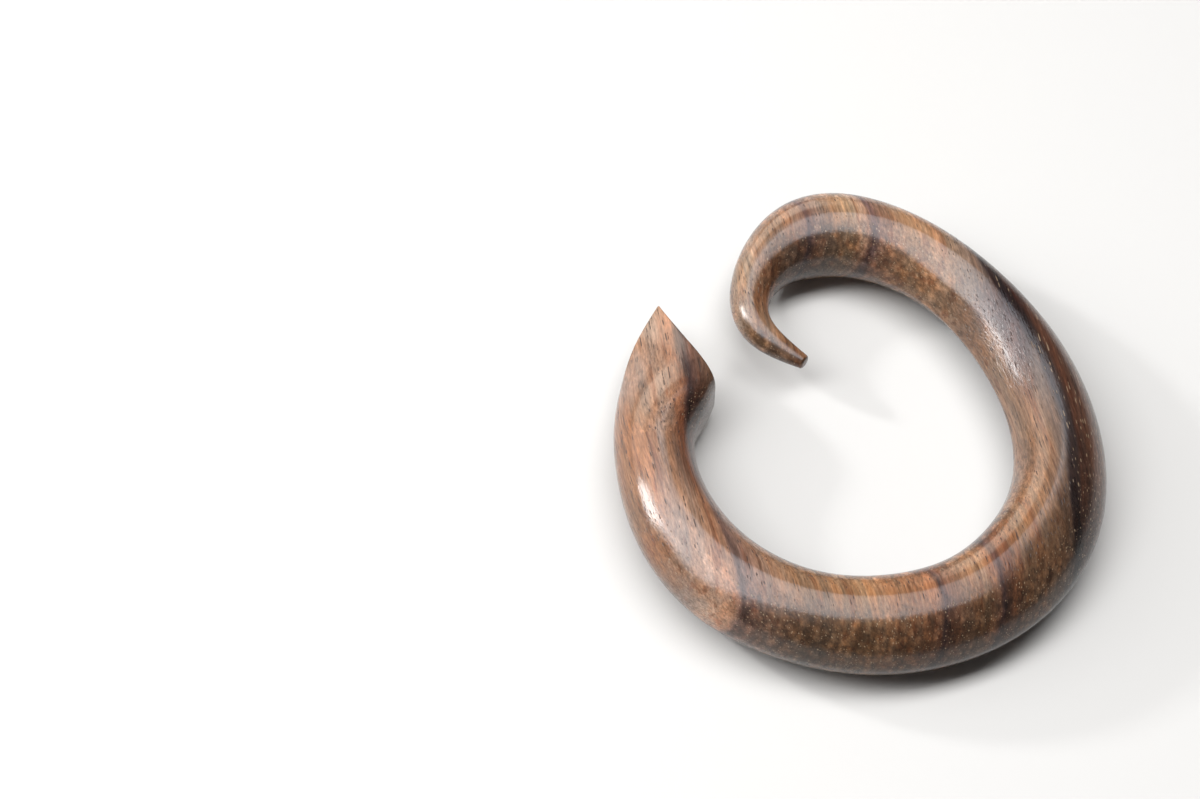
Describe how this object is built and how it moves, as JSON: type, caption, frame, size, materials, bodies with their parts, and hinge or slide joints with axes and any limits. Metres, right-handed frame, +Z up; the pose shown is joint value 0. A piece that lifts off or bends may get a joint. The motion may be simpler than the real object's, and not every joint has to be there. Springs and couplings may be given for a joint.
{
  "type": "wooden hoop earring",
  "caption": "Carved wooden hoop earring: an oval ring whose thin hook passes through a stretched lobe and faces a flared, slant-cut end.",
  "frame": {"origin": "middle of the hoop's outline in plan, on the surface that it lies on", "axes": "+Z up through the flat-lying hoop, +Y along its longer side towards the bend of the hook, +X across it"},
  "size_m": [0.054, 0.0608, 0.0104],
  "materials": {
    "wood": "polished figured hardwood, satin gloss"
  },
  "bodies": {
    "root": {"hoop": "wood"}
  },
  "joints": []
}
